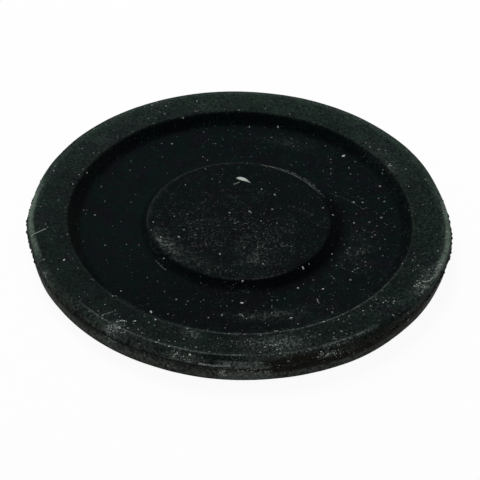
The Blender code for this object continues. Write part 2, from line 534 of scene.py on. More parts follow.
def turned_disc_tree():
    """Turns a section in the XZ plane about Z into one closed skin, a little uneven at the rim."""
    inputs = (
        ("Section", "Geometry"),
        ("Turn Steps", "Int", 360),
        ("Arc Steps", "Int", 5),
        ("Outer Radius", "Float", 25 * MM),
        ("Rim Wander", "Float", 0.05 * MM),
        ("Wanders Round", "Float", 3.0),
        ("Ridge Bite", "Float", 0.1 * MM),
        ("Bites Round", "Float", 60.0),
        ("Material", "Material"),
    )
    tree, given, result = new_tree("GeometryNodeTree", "Turned Disc", inputs, (("Skin", "Geometry"),))
    line = rounded_line(tree, given["Section"], given["Arc Steps"])
    stations = add_node(
        tree, "GeometryNodeAttributeDomainSize", {"Geometry": line}, component="CURVE"
    ).outputs["Point Count"]
    columns = maths(tree, "ADD", given["Turn Steps"], 1)
    grid_inputs = {"Vertices X": columns, "Vertices Y": stations}
    grid = add_node(tree, "GeometryNodeMeshGrid", grid_inputs).outputs["Mesh"]
    index = add_node(tree, "GeometryNodeInputIndex").outputs[0]
    station = maths(tree, "MODULO", index, stations)
    column = maths(tree, "FLOOR", maths(tree, "DIVIDE", index, stations))
    angle = maths(tree, "MULTIPLY", maths(tree, "DIVIDE", column, given["Turn Steps"]), math.tau)

    def at_station(value, data_type):
        """What the point of the section at this row of the grid has."""
        inputs = {"Geometry": line, "Value": value, "Index": station}
        return add_node(tree, "GeometryNodeSampleIndex", inputs, data_type=data_type).outputs[0]

    place = at_station(add_node(tree, "GeometryNodeInputPosition").outputs[0], "FLOAT_VECTOR")
    ridge = at_station(field(tree, "ridge"), "FLOAT")
    along = at_station(add_node(tree, "GeometryNodeSplineParameter").outputs["Length"], "FLOAT")
    radius, _, height = add_node(tree, "ShaderNodeSeparateXYZ", {0: place}).outputs
    cosine, sine = maths(tree, "COSINE", angle), maths(tree, "SINE", angle)
    share_out = maths(tree, "DIVIDE", radius, given["Outer Radius"])
    round_trip = add_node(tree, "ShaderNodeCombineXYZ", {0: cosine, 1: sine, 2: share_out}).outputs[0]
    wander = centred_noise(tree, round_trip, given["Wanders Round"])
    wander = maths(tree, "MULTIPLY", wander, given["Rim Wander"])
    bite = ramp(tree, centred_noise(tree, round_trip, given["Bites Round"], 3.0), -0.2, 0.2, smooth=False)
    bite = maths(tree, "MULTIPLY", maths(tree, "MULTIPLY", bite, ridge), given["Ridge Bite"])
    uneven = maths(tree, "SUBTRACT", maths(tree, "MULTIPLY", wander, share_out), bite)
    radius = maths(tree, "ADD", radius, uneven)
    x, y = maths(tree, "MULTIPLY", radius, cosine), maths(tree, "MULTIPLY", radius, sine)
    turned = add_node(tree, "ShaderNodeCombineXYZ", {0: x, 1: y, 2: height}).outputs[0]
    skin = stored(tree, grid, "along", along)
    skin = add_node(tree, "GeometryNodeSetPosition", {"Geometry": skin, "Position": turned}).outputs[0]
    skin = add_node(tree, "GeometryNodeMergeByDistance", {"Geometry": skin, "Distance": SEAM_GAP}).outputs[0]
    skin = add_node(tree, "GeometryNodeSetShadeSmooth", {"Geometry": skin}).outputs[0]
    tree.links.new(made_plain(tree, skin, given["Material"]), result["Skin"])
    return tree


# %% Turn the disc
RIM_WANDER = 0.16 * MM
WANDERS_ROUND = 4.0

disc_tree = turned_disc_tree()
disc = grow(
    "disc",
    section,
    disc_tree,
    {
        "Turn Steps": 760,
        "Arc Steps": 4,
        "Outer Radius": outer_radius,
        "Rim Wander": RIM_WANDER,
        "Wanders Round": WANDERS_ROUND,
        "Ridge Bite": 0.12 * MM,
        "Bites Round": 40.0,
        "Material": black_rubber,
    },
)


def coordinates(mesh):
    """The mesh's points as rows of x, y, z."""
    flat = np.empty(len(mesh.vertices) * 3)
    mesh.vertices.foreach_get("co", flat)
    return flat.reshape(-1, 3)


def outward_volume(mesh):
    """The volume inside the mesh, which is below 0 if its faces point inwards."""
    mesh.calc_loop_triangles()
    corners = np.empty(len(mesh.loop_triangles) * 3, dtype=np.int32)
    mesh.loop_triangles.foreach_get("vertices", corners)
    a, b, c = coordinates(mesh)[corners.reshape(-1, 3)].transpose(1, 0, 2)
    return float(np.einsum("ij,ij->i", a, np.cross(b, c)).sum() / 6)


def face_outwards(mesh):
    """Turns the faces of a closed mesh round if they point inwards."""
    if outward_volume(mesh) < 0:
        mesh.flip_normals()


face_outwards(disc.data)
print(f"disc: {outward_volume(disc.data) / MM**3:.0f} cubic mm")

# %% Pull the rim a little out of round
# Each place: its angle round the disc, its half width in degrees, and how far the rim stands out there
OUT_OF_ROUND = (
    (-177, 7, 0.16 * MM),
    (-57, 12, 0.14 * MM),
    (-10, 9, 0.16 * MM),
    (17, 10, -0.24 * MM),
    (60, 20, 0.10 * MM),
)
# The pull fades inwards, as this power of the distance from the axis
PULL_FADE = 6


def pull_out_of_round(mesh):
    """Moves each point outwards by what its angle asks, by less and less inwards from the rim."""
    points = coordinates(mesh)
    angle = np.degrees(np.arctan2(points[:, 1], points[:, 0]))
    offset = np.zeros(len(points))
    for middle, half, amount in OUT_OF_ROUND:
        off = (angle - middle + 180) % 360 - 180
        offset += amount * np.exp(-((off / half) ** 2))
    share_out = np.hypot(points[:, 0], points[:, 1]) / outer_radius
    points[:, :2] *= (1 + offset / outer_radius * share_out**PULL_FADE)[:, None]
    mesh.vertices.foreach_set("co", points.ravel())
    mesh.update()


pull_out_of_round(disc.data)
print(f"rim: pulled out of round at {len(OUT_OF_ROUND)} places")

# %% [markdown]
# ## Where the film, the dust and the talc lie
# An attribute is a number on each point of the mesh that a material can read. Most of it follows from the
# shape: the film lies on what faces up, the bloom on the land, the dust on the outer wall. The rest is what
# chance left on this disc, and that is placed by the pixel where the photograph shows it. So the first
# helpers here find a point's place on the disc: how far round it is, and how far along the section.

# %% Measures of each point of the disc
disc_points = coordinates(disc.data)
disc_radius = np.hypot(disc_points[:, 0], disc_points[:, 1])
disc_angle = np.arctan2(disc_points[:, 1], disc_points[:, 0])
disc_along = np.empty(len(disc_points), dtype=np.float32)
disc.data.attributes["along"].data.foreach_get("value", disc_along)
disc_normals = np.empty(len(disc_points) * 3, dtype=np.float32)
disc.data.vertices.foreach_get("normal", disc_normals)
disc_upward = disc_normals.reshape(-1, 3)[:, 2]
disc_skin = BVHTree.FromPolygons(disc_points.tolist(), [face.vertices[:] for face in disc.data.polygons])


def surface_at(x, y):
    """The place and the outward direction of the rubber that shows at a pixel."""
    place, direction, _, _ = disc_skin.ray_cast(camera_place, pixel_ray(x, y))
    if place is None:
        raise ValueError(f"no rubber shows at pixel {x}, {y}")
    return place, direction


def nearest_point(place):
    """The number of the mesh point that is nearest to a place."""
    return int(np.argmin(((disc_points - np.array(place)) ** 2).sum(axis=1)))


middle_spot = surface_at(*DISC_MIDDLE_PIXEL)[0]
print("under the middle pixel:", [round(c / MM, 2) for c in middle_spot], "mm")

# %% Ways to mark out a part of the disc


def smooth_step(values, start, end):
    """0 up to start, 1 from end on, and a smooth climb between."""
    share = np.clip((values - start) / (end - start), 0, 1)
    return share * share * (3 - 2 * share)


def along_at(radius, height):
    """How far along the section the skin has this radius and height."""
    return disc_along[nearest_point((radius, 0, height))]


def line_round(radius, height, half_width):
    """1 on a soft line round the disc at this radius and height, and 0 away from it."""
    return np.exp(-(((disc_along - along_at(radius, height)) / half_width) ** 2))


def stretch(first, last, soft=0.1 * MM):
    """1 between two places on the section, each a radius and a height, with soft ends."""
    low, high = along_at(*first), along_at(*last)
    begun = smooth_step(disc_along, low - soft, low + soft)
    return begun * smooth_step(-disc_along, -high - soft, -high + soft)


def sector(middle, half, soft=25, angle=disc_angle):
    """1 up to half degrees from the middle angle, and 0 from soft degrees beyond that."""
    off = np.abs((np.degrees(angle) - middle + 180) % 360 - 180)
    return 1 - smooth_step(off, half, half + soft)


def patch(pixel, half_round, half_out):
    """A patch with a soft edge around the spot that shows at a pixel."""
    centre = nearest_point(surface_at(*pixel)[0])
    turn = (disc_angle - disc_angle[centre] + math.pi) % math.tau - math.pi
    off_round = turn * disc_radius[centre] / half_round
    off_out = (disc_along - disc_along[centre]) / half_out
    return np.exp(-(off_round**2) - off_out**2)


def round_patch(pixel, reach):
    """A patch that fades evenly on all sides of the spot that shows at a pixel."""
    off = disc_points - np.array(surface_at(*pixel)[0])
    return np.exp(-((off**2).sum(axis=1)) / reach**2)


def put_on_points(obj, name, values):
    """Stores one number on each point of a mesh."""
    attribute = obj.data.attributes.get(name) or obj.data.attributes.new(name, "FLOAT", "POINT")
    attribute.data.foreach_set("value", np.clip(values, 0, 1).astype(np.float32))


# %% [markdown]
# Each mask is 1 on one part of the disc and 0 off it, mostly with a soft edge. Many are a stretch of the
# section between two places on it, and a sector limits them to a part of the round where they need it. Masks
# are then put together into layers, each with the share of the rubber that it hides.

# %% The places on the section that the masks start from
boss_foot_radius = BOSS_RADIUS + BOSS_WALL_RUN
boss_edge = (BOSS_RADIUS, boss_height)
boss_edge_back = (BOSS_RADIUS + 0.30 * MM, boss_height - 0.08 * MM)
boss_wall_middle = (BOSS_RADIUS + 0.65 * MM, boss_height - 0.42 * MM)
land_inner_edge = (land_inner_radius, rim_height)
land_outer_edge = (land_outer_radius, rim_height)
land_before_edge = (land_outer_radius - 0.12 * MM, rim_height)
land_past_edge = (land_outer_radius + 0.12 * MM, rim_height)
shoulder_corner = (shoulder_radius, rim_height - SHOULDER_FALL)
ridge_root_corner = (upper_wall_radius, ridge_root)
below_ridge = (lower_wall_radius, ridge_bottom - 0.2 * MM)
wall_middle = (lower_wall_radius, ridge_bottom - 0.9 * MM)
wall_foot = (foot_radius, 0.15 * MM)

# %% The parts of the disc, as masks
faces_up = smooth_step(disc_upward, 0.80, 0.995)
on_boss = disc_radius < BOSS_RADIUS
on_ring = (disc_radius > boss_foot_radius) & (disc_radius < rim_foot_radius)
past_ring = disc_radius > land_inner_radius
on_land = smooth_step(disc_points[:, 2], rim_height - 0.25 * MM, rim_height - 0.05 * MM)
boss_upper_wall = stretch((BOSS_RADIUS + 0.2 * MM, boss_height), boss_wall_middle, 0.15 * MM)
boss_lower_wall = stretch(boss_wall_middle, (boss_foot_radius + 0.6 * MM, web_height), 0.25 * MM)
boss_wall = np.maximum(boss_upper_wall, boss_lower_wall)
rim_wall = stretch((rim_foot_radius, web_height), land_inner_edge, 0.15 * MM)
shoulder = stretch(land_outer_edge, ridge_root_corner, 0.15 * MM)
upper_wall = stretch(shoulder_corner, ridge_root_corner)
ridge_line = stretch(ridge_root_corner, (outer_radius, ridge_top), 0.05 * MM)
under_ridge = stretch((lower_wall_radius, ridge_bottom), wall_middle, 0.2 * MM)
lower_wall = stretch(below_ridge, wall_foot, 0.12 * MM)
towards_foot = np.clip(1 - disc_points[:, 2] / below_ridge[1], 0, 1)
print(f"boss's wall: {(boss_wall > 0.5).sum()} points, outer wall: {(lower_wall > 0.5).sum()} points")

# %% [markdown]
# The film lies on what faces up, and its amount is also painted light: what faces up is lighter, and what
# turns from the light stays black as painted shade. It is thinnest on the boss's wall at the front right,
# which is turned from the light and shows as the darkest band of the whole disc. Painted shade also thins it
# along the boss's edge at the front right and in the ring at the front.

# %% Film, with painted light and shade
dark_side = sector(-25, 42, 22)
dark_edge = line_round(BOSS_RADIUS + 0.1 * MM, boss_height, 0.2 * MM) * sector(-20, 18, 14)
# Painted light: what faces up takes the most film, so it is lighter, and the walls stay dark
film_and_painted_light = np.maximum.reduce([
    0.06 + 0.94 * faces_up,
    (0.45 + 0.3 * sector(90, 60, 30)) * rim_wall,
    0.8 * shoulder,
    0.75 * boss_lower_wall,
    (0.22 + 0.4 * sector(150, 40, 30)) * boss_upper_wall,
])
# Painted shade: less film on the boss's wall at the front right, in the ring at the front and along the
# boss's edge at the front right
film_and_painted_light *= (1 - 0.92 * boss_wall * dark_side) * (1 - 0.46 * on_ring * sector(-104, 24, 20))
film_and_painted_light *= (1 - 0.8 * dark_edge) * (1 - 0.24 * on_boss)
print(f"film: {film_and_painted_light.mean():.2f} on average")

# %% [markdown]
# The bloom, with its painted sheen, is strongest at the back and at the outer side of the land, and runs down
# over the shoulder. At the two sides of the disc the shoulder also has a pale band of painted reflection,
# paler towards the outside.

# %% Bloom with painted sheen, and a painted reflection on the shoulder
SHEEN_MOST_AT = math.radians(78)
outward_share = np.clip((disc_radius - land_inner_radius) / LAND_WIDTH, 0, 1)
# Painted sheen: lightest towards the back, on what faces up, and along the land's outer edge at the back
bloom_and_sheen = 0.36 + 0.18 * np.cos(disc_angle - SHEEN_MOST_AT)
bloom_and_sheen *= (0.75 + 0.5 * outward_share) * on_land * smooth_step(disc_upward, 0.4, 0.95)
bloom_and_sheen += 0.4 * line_round(*land_outer_edge, 0.35 * MM) * sector(80, 85, 20)
bloom_and_sheen = np.maximum(bloom_and_sheen, shoulder * (0.28 + 0.19 * sector(-130, 22, 14) + 0.2 * sector(-20, 10, 20)))

band_start = (land_outer_radius + 0.18 * MM, rim_height - 0.04 * MM)
band_middle = (shoulder_radius - 0.1 * MM, rim_height - 0.19 * MM)
band_end = (shoulder_radius + 0.04 * MM, rim_height - 0.35 * MM)
shoulder_band = stretch(band_start, band_end, 0.12 * MM)
at_sides = 0.85 * sector(-177, 10, 10) + sector(-7, 11, 9)
at_back_right = sector(32, 16, 14)
share_down = np.clip((disc_radius - land_outer_radius) / SHOULDER_WIDTH, 0, 1)
# Painted sheen and reflection: the shoulder band is lighter at the two sides and at the back right
bloom_and_sheen += shoulder_band * (0.6 * at_sides + 0.5 * at_back_right)
# Painted reflection: the pale band on the shoulder at the two sides, paler towards the outside
painted_reflection = shoulder_band * ((0.35 + 0.50 * share_down) * at_sides + 0.22 * sector(3, 6, 6))
painted_reflection += line_round(*band_middle, 0.16 * MM) * (0.35 * sector(170, 8, 12) + 0.30 * sector(16, 14, 12))
print(f"bloom: {bloom_and_sheen.mean():.3f} on average")

# %% [markdown]
# Dust lies on the outer wall, more of it towards the foot. The same layer paints highlights as thin pale
# lines along the edges. A line goes round the disc at one place on the section, as far as its sector reaches.

# %% Dust, and thin pale lines of painted highlight along the edges
FRONT_PATCH = (-87.8, 6.0, 1.2)
front_patch = sector(*FRONT_PATCH)
dust_and_highlights = 0.19 * upper_wall + 0.40 * ridge_line + lower_wall * (0.20 + 0.90 * towards_foot)
dust_and_highlights += 0.06 * np.maximum(shoulder, upper_wall) * sector(-140, 22, 12)
dust_and_highlights += 0.14 * shoulder * sector(-80, 5, 5) + 0.8 * lower_wall * towards_foot * front_patch

land_edge_front = sector(-94, 40, 6) * (1 - 0.6 * sector(-78, 6, 6))
# Each line: its place on the section, half its width, the part of the round it takes, and how strong it is
PAINTED_HIGHLIGHT_LINES = {
    "land's inner edge at the front": (land_inner_edge, 0.09 * MM, sector(-70, 24, 26), 0.24),
    "land's inner edge": (land_inner_edge, 0.16 * MM, 1.0, 0.055),
    "land's outer edge at the front": (land_before_edge, 0.09 * MM, land_edge_front, 0.34),
    "shoulder's edge at the front": (shoulder_corner, 0.09 * MM, sector(-100, 7, 4), 0.26),
    "boss's edge at the back right": (boss_edge_back, 0.12 * MM, sector(52, 15, 10), 0.42),
    "boss's edge at the back": (boss_edge_back, 0.14 * MM, sector(114, 72, 20), 0.17),
    "boss's edge at the front": (boss_edge, 0.09 * MM, sector(-80, 14, 14), 0.19),
}
# Painted highlights: each line adds pale dust along an edge
for place, half_width, arc, strength in PAINTED_HIGHLIGHT_LINES.values():
    dust_and_highlights += strength * line_round(*place, half_width) * arc
dust_and_highlights *= 1 - 0.55 * shoulder * sector(-20, 6, 6)
print(f"dust: {dust_and_highlights.mean():.3f} on average, with {len(PAINTED_HIGHLIGHT_LINES)} pale lines")

# %% [markdown]
# Brown soil hides the dust in places, most of all under the ridge at the front right. At the front, a line of
# painted shade lies just outside the land's pale edge, where the shoulder turns from the light.

# %% Brown soil, and a line of painted shade
brown_part = sector(-76, 6, 3) + 0.6 * sector(-58, 12, 10)
soil = 0.7 * np.maximum(upper_wall, 0.3 * shoulder) * brown_part
soil += 0.10 * rim_wall * sector(170, 26, 12)
soil += under_ridge * (0.9 * sector(-60, 22, 14) + 0.5 * sector(-42, 14, 8) + 0.5 * sector(-141, 6, 9))
# Painted shade: a dark line just outside the land's edge at the front, where the bloom is taken away
shade_line = line_round(land_outer_radius + 0.25 * MM, rim_height - 0.06 * MM, 0.12 * MM) * sector(-98, 8, 4)
bloom_and_sheen *= (1 - 0.8 * shade_line) * (1 - 0.3 * shoulder * np.clip(brown_part, 0, 1))
for layer, amounts in {"film_and_painted_light": film_and_painted_light, "bloom_and_sheen": bloom_and_sheen, "dust_and_highlights": dust_and_highlights, "painted_reflection": painted_reflection, "soil": soil}.items():
    put_on_points(disc, layer, amounts)
print(f"soil: {soil.mean():.3f} on average")

# %% [markdown]
# Talc lodges where it can't be wiped off: along the edges, on a part of the outer wall at the front, and in
# smears. Along the edges of the land and the boss it is partly a painted highlight, and on the shoulder at
# the two sides it is a painted reflection. Its lines are grainy, and most are wider than the dust's.

# %% Talc and painted highlights along the edges, and talc on the walls
# Each line is written as the painted highlight lines are
TALC_AND_HIGHLIGHT_LINES = {
    "land's inner edge at the front": (land_inner_edge, 0.14 * MM, sector(-68, 30, 24), 0.16),
    "land's outer edge at the front": (land_before_edge, 0.13 * MM, land_edge_front, 0.24),
    "land's outer edge": (land_outer_edge, 0.30 * MM, sector(80, 80), 0.07),
    "boss's edge": (boss_edge, 0.12 * MM, sector(150, 60), 0.05),
    "boss's edge at the back right": (boss_edge_back, 0.18 * MM, sector(52, 14, 12), 0.40),
    "land, front left": ((land_outer_radius - 0.5 * MM, rim_height), 0.5 * MM, sector(-118, 10, 10), 0.03),
    "shoulder, front right": (land_past_edge, 0.18 * MM, sector(-65, 12, 8), 0.22),
    "root of the ridge, front": (ridge_root_corner, 0.12 * MM, sector(-98, 8, 4), 0.60),
}
# Painted reflection: pale talc on the shoulder band at the two sides and at the back right
talc = shoulder_band * (0.12 * at_sides + 0.04 * at_back_right)
# Along the edges of the land and the boss these lines are partly painted highlight
for place, half_width, arc, strength in TALC_AND_HIGHLIGHT_LINES.values():
    talc += strength * line_round(*place, half_width) * arc
talc += 0.04 * rim_wall * sector(-95, 32, 14) + 1.00 * ridge_line * sector(-99, 8, 4)
talc += 2.40 * towards_foot**2 * lower_wall * front_patch
talc += 1.60 * np.maximum(under_ridge * (1 - lower_wall), ridge_line) * front_patch
talc += 0.65 * upper_wall * sector(-88.5, 4, 3)
talc += 0.30 * np.maximum(upper_wall, lower_wall) * sector(-125, 1.0, 1.5)
talc += 0.06 * upper_wall * (sector(-160, 6, 16) + sector(-20, 8, 10))
print(f"talc along {len(TALC_AND_HIGHLIGHT_LINES)} edges")

# %% Talc in smears
# Each smear: the pixel at its middle, half its length round the disc and out along it, and how thick it is
TALC_SMEARS = {
    "left front edge of the boss": ((161, 243), 1.9 * MM, 0.9 * MM, 0.21),
    "inside that edge": ((168, 247), 2.2 * MM, 1.4 * MM, 0.16),
    "its tail": ((192, 261), 3.0 * MM, 0.9 * MM, 0.09),
    "middle of the boss's front": ((254, 257), 2.2 * MM, 1.8 * MM, 0.07),
    "left of the boss's middle": ((206, 226), 4.0 * MM, 3.0 * MM, 0.010),
    "right of the boss's middle": ((268, 238), 4.2 * MM, 3.0 * MM, 0.012),
    "land, far left": ((104, 139), 1.2 * MM, 1.0 * MM, 0.06),
    "land, back left": ((198, 109), 1.2 * MM, 0.9 * MM, 0.05),
    "land, back right": ((392, 168), 2.0 * MM, 0.9 * MM, 0.08),
    "land, right": ((376, 151), 3.0 * MM, 1.2 * MM, 0.06),
    "land, front": ((274, 345.5), 3.0 * MM, 1.1 * MM, 0.34),
    "land, front left": ((192, 333), 1.0 * MM, 0.7 * MM, 0.32),
    "ring, right": ((358, 252), 4.5 * MM, 1.8 * MM, 0.035),
    "ring, right front": ((308, 314), 3.0 * MM, 1.5 * MM, 0.04),
    "ring, front": ((264, 316), 2.8 * MM, 0.5 * MM, 0.20),
    "ring, back right": ((290, 145), 3.0 * MM, 1.0 * MM, 0.05),
    "wall, left of the front": ((179, 358), 1.6 * MM, 0.5 * MM, 0.30),
    "wall, right of the front": ((330, 354), 1.5 * MM, 0.5 * MM, 0.20),
    "wall, lower left": ((111, 336), 0.8 * MM, 1.5 * MM, 0.48),
    "shoulder, lower left": ((114, 327), 0.7 * MM, 0.8 * MM, 0.08),
    "wall, left": ((45, 275), 0.7 * MM, 0.5 * MM, 0.30),
    "shoulder, right": ((427, 281), 2.4 * MM, 0.8 * MM, 0.34),
    "wall, right": ((441, 266), 1.4 * MM, 0.5 * MM, 0.40),
}
for pixel, half_round, half_out, thickness in TALC_SMEARS.values():
    talc += thickness * patch(pixel, half_round, half_out)
talc *= 1 - 0.92 * boss_wall * sector(-70, 94, 22)
talc *= 1 - 0.7 * line_round(*boss_edge, 0.18 * MM) * sector(-160, 18, 12)
put_on_points(disc, "talc", talc)
print(f"talc in {len(TALC_SMEARS)} smears, at most {talc.max():.2f}")

# %% [markdown]
# Stray grains lie wherever the powder drifted to: most on the boss, fewer on the rim and fewest in the ring.

# %% Stray grains
strays_on_ring = 0.09 + 0.05 * sector(90, 30, 40) + 0.14 * sector(-40, 60, 40)
strays_on_boss = 0.22 + 0.32 * round_patch((206, 226), 5.0 * MM) + 0.34 * round_patch((262, 240), 5.5 * MM)
strays_on_rim = 0.20 + 0.32 * sector(-80, 35, 30) + 0.05 * sector(0, 40, 40)
strays = np.where(on_boss, strays_on_boss, np.where(past_ring, strays_on_rim, strays_on_ring))
strays += 0.16 * patch((358, 252), 5.0 * MM, 1.8 * MM)
strays += 0.8 * np.maximum(lower_wall * towards_foot, 0.5 * under_ridge) * front_patch
strays *= 1 - 0.85 * boss_wall * np.maximum(dark_side, sector(-170, 30, 20))
put_on_points(disc, "strays", strays)
print(f"stray grains: {strays[on_boss].mean():.2f} on the boss, {strays[on_ring].mean():.2f} in the ring")

# %% [markdown]
# ## Flash at the parting line
# Where the two halves of the mould met, a film of rubber crept out between them, and tore off unevenly when
# the disc was trimmed. It is a fin that tapers to a ragged edge, so the tree that turned the disc makes it
# too: the section is a flat wedge, and the bites into its tip are deeper and closer together.

# %% The flash
FLASH_REACH_IN = 0.35 * MM
FLASH_REACH_OUT = 0.11 * MM
FLASH_ROOT_THICKNESS = 0.10 * MM
FLASH_TIP_THICKNESS = 0.03 * MM

flash_height = (ridge_top + ridge_bottom) / 2
root_radius = outer_radius - FLASH_REACH_IN
tip_radius = outer_radius + FLASH_REACH_OUT
wedge = (
    (root_radius, flash_height - FLASH_ROOT_THICKNESS / 2, 0.0),
    (tip_radius, flash_height - FLASH_TIP_THICKNESS / 2, 1.0),
    (tip_radius, flash_height + FLASH_TIP_THICKNESS / 2, 1.0),
    (root_radius, flash_height + FLASH_ROOT_THICKNESS / 2, 0.0),
    (root_radius, flash_height - FLASH_ROOT_THICKNESS / 2, 0.0),
)
wedge_line = point_mesh(
    "flash_section",
    [(radius, 0, height) for radius, height, _ in wedge],
    chain(0, len(wedge) - 1),
    rounding=[0.0] * len(wedge),
    ridge=[tip for _, _, tip in wedge],
    step=[WIDE_STEP] * len(wedge),
)
flash = grow(
    "mould_flash",
    wedge_line,
    disc_tree,
    {
        "Turn Steps": 2400,
        "Arc Steps": 1,
        "Outer Radius": outer_radius,
        "Rim Wander": RIM_WANDER,
        "Wanders Round": WANDERS_ROUND,
        "Ridge Bite": 0.24 * MM,
        "Bites Round": 44.0,
        "Material": black_rubber,
    },
)
face_outwards(flash.data)
pull_out_of_round(flash.data)

# %% Paint the flash
flash_points = coordinates(flash.data)
flash_angle = np.arctan2(flash_points[:, 1], flash_points[:, 0])
flash_layers = {
    "film_and_painted_light": np.full(len(flash_points), 0.2),
    "dust_and_highlights": 0.16 * sector(-90, 34, 16, flash_angle),
    "talc": sector(*FRONT_PATCH, flash_angle),
    "strays": np.full(len(flash_points), 0.05),
}
for layer, amounts in flash_layers.items():
    put_on_points(flash, layer, amounts)
print(f"flash: {flash_layers['dust_and_highlights'].mean():.3f} of dust on average")

# %% [markdown]
# ## Loose talc
# Each grain is a chip of a few faces. Two trees put them down: one scatters them at random, closer together
# where the talc attribute is high, and one sets them on points that are given. Both turn a chip's flat side
# to the rubber and squeeze it and dent it by chance, and give it a brightness, which is chance for the
# scattered grains and given for the placed ones. A node group could hold what the two share, but a Python
# function that adds the same nodes to each is shorter to read.

# %% The talc's material
GRAIN_DULL = (0.020, 0.026, 0.024, 1)
CHALK_SIZE = 0.05 * MM
CHALK_MOTTLE_SIZE = 1 * MM
CHALK_ROUGHNESS = 0.9
CHALK_GLOSS = 0.1


def talc_material():
    """Chalky powder, from nearly lost in the rubber's black to white, as each grain's brightness says."""
    material = bpy.data.materials.new("talc")
    material.use_nodes = True
    tree = material.node_tree
    shader = tree.nodes["Principled BSDF"]
    place = add_node(tree, "ShaderNodeTexCoord").outputs["Object"]
    inputs = {"Vector": place, "Grain Size": CHALK_SIZE, "Mottle Size": CHALK_MOTTLE_SIZE}
    grain = add_node(tree, "ShaderNodeGroup", inputs, node_tree=moulded_grain).outputs
    chalky = ramp(tree, grain["Height"], 0.0, 1.0, 0.7, 1.0, smooth=False)
    share = maths(tree, "MULTIPLY", painted(tree, "brightness"), chalky, clamp=True)
    tree.links.new(mix_colours(tree, share, GRAIN_DULL, TALC_WHITE), shader.inputs["Base Color"])
    shader.inputs["Roughness"].default_value = CHALK_ROUGHNESS
    shader.inputs["Specular IOR Level"].default_value = CHALK_GLOSS
    return material


talc_powder = talc_material()
print(f"material: {talc_powder.name}")

# %% Nodes that both trees of grains share
DENT_SPACING = 0.06 * MM
DENT_DEPTH = 0.04 * MM


def chance(tree, low, high, seed):
    """A number for each point, at random between two values."""
    return add_node(tree, "FunctionNodeRandomValue", {2: low, 3: high, 8: seed}, data_type="FLOAT").outputs[1]


def grains_on(tree, points, outward, size, brightness, material):
    """A chip on each point, flat side down, as plain faces with a brightness."""
    flat = add_node(tree, "FunctionNodeAlignRotationToVector", {"Vector": outward}, axis="Z").outputs[0]
    angle = chance(tree, 0.0, math.tau, 11)
    spin = add_node(tree, "FunctionNodeAxisAngleToRotation", {"Axis": (0, 0, 1), "Angle": angle}).outputs[0]
    turn_inputs = {"Rotation": flat, "Rotate By": spin}
    turned = add_node(tree, "FunctionNodeRotateRotation", turn_inputs, rotation_space="LOCAL").outputs[0]
    length = maths(tree, "MULTIPLY", size, chance(tree, 0.5, 0.9, 12))
    width = maths(tree, "MULTIPLY", size, chance(tree, 0.35, 0.5, 13))
    thickness = maths(tree, "MULTIPLY", size, chance(tree, 0.10, 0.20, 14))
    squeeze = add_node(tree, "ShaderNodeCombineXYZ", {0: length, 1: width, 2: thickness}).outputs[0]
    chip = add_node(tree, "GeometryNodeMeshIcoSphere", {"Radius": 1.0, "Subdivisions": 1}).outputs[0]
    inputs = {"Points": points, "Instance": chip, "Rotation": turned, "Scale": squeeze}
    grains = add_node(tree, "GeometryNodeInstanceOnPoints", inputs).outputs[0]
    grains = stored(tree, grains, "brightness", brightness, "INSTANCE")
    grains = add_node(tree, "GeometryNodeRealizeInstances", {"Geometry": grains}).outputs[0]
    here = add_node(tree, "GeometryNodeInputPosition").outputs[0]
    dents = noise(tree, here, 1 / DENT_SPACING)["Color"]
    inputs = {0: dents, 1: (0.5, 0.5, 0.5)}
    centred = add_node(tree, "ShaderNodeVectorMath", inputs, operation="SUBTRACT").outputs[0]
    inputs = {0: centred, "Scale": DENT_DEPTH}
    dent = add_node(tree, "ShaderNodeVectorMath", inputs, operation="SCALE").outputs[0]
    grains = add_node(tree, "GeometryNodeSetPosition", {"Geometry": grains, "Offset": dent}).outputs[0]
    inputs = {"Geometry": grains, "Material": material}
    return add_node(tree, "GeometryNodeSetMaterial", inputs).outputs[0]


# %% Grains at random


def scattered_grains_tree():
    """Grains all over the sides of a surface that don't face down, closer where its talc is thick."""
    inputs = (
        ("Surface", "Geometry"),
        ("Strays", "Float", 0.3 / MM**2),
        ("Talc Density", "Float", 10 / MM**2),
        ("Smallest", "Float", 0.03 * MM),
        ("Largest", "Float", 0.2 * MM),
        ("Seed", "Int", 1),
        ("Material", "Material"),
    )
    tree, given, result = new_tree("GeometryNodeTree", "Scattered Grains", inputs, (("Grains", "Geometry"),))
    normal = add_node(tree, "GeometryNodeInputNormal").outputs[0]
    upward = add_node(tree, "ShaderNodeSeparateXYZ", {0: normal}).outputs[2]
    strays = maths(tree, "MULTIPLY", field(tree, "strays"), given["Strays"])
    density = maths(tree, "MULTIPLY_ADD", field(tree, "talc"), given["Talc Density"], strays)
    inputs = {
        "Mesh": given["Surface"],
        "Selection": maths(tree, "GREATER_THAN", upward, -0.3),
        "Density": density,
        "Seed": given["Seed"],
    }
    points, outward, _ = add_node(tree, "GeometryNodeDistributePointsOnFaces", inputs).outputs
    share = maths(tree, "POWER", chance(tree, 0.0, 1.0, 21), 8.0)
    spread = maths(tree, "SUBTRACT", given["Largest"], given["Smallest"])
    size = maths(tree, "MULTIPLY_ADD", share, spread, given["Smallest"])
    brightness = maths(tree, "POWER", chance(tree, 0.2, 0.9, 22), 4.0)
    tree.links.new(grains_on(tree, points, outward, size, brightness, given["Material"]), result["Grains"])
    return tree


scattered = grow(
    "scattered_talc",
    disc.data.copy(),
    scattered_grains_tree(),
    {
        "Strays": 1.6 / MM**2,
        "Talc Density": 18 / MM**2,
        "Smallest": 0.06 * MM,
        "Largest": 0.20 * MM,
        "Seed": 5,
        "Material": talc_powder,
    },
)

# %% [markdown]
# The grains that catch the eye lie where the photograph shows them, each by its pixel, its size and its
# brightness. Other traces are rows of finer grains, such as a scratch that talc has settled in, the edge of a
# smear or a cluster on the outer wall. A row follows a path of pixels, with each grain a little off it.

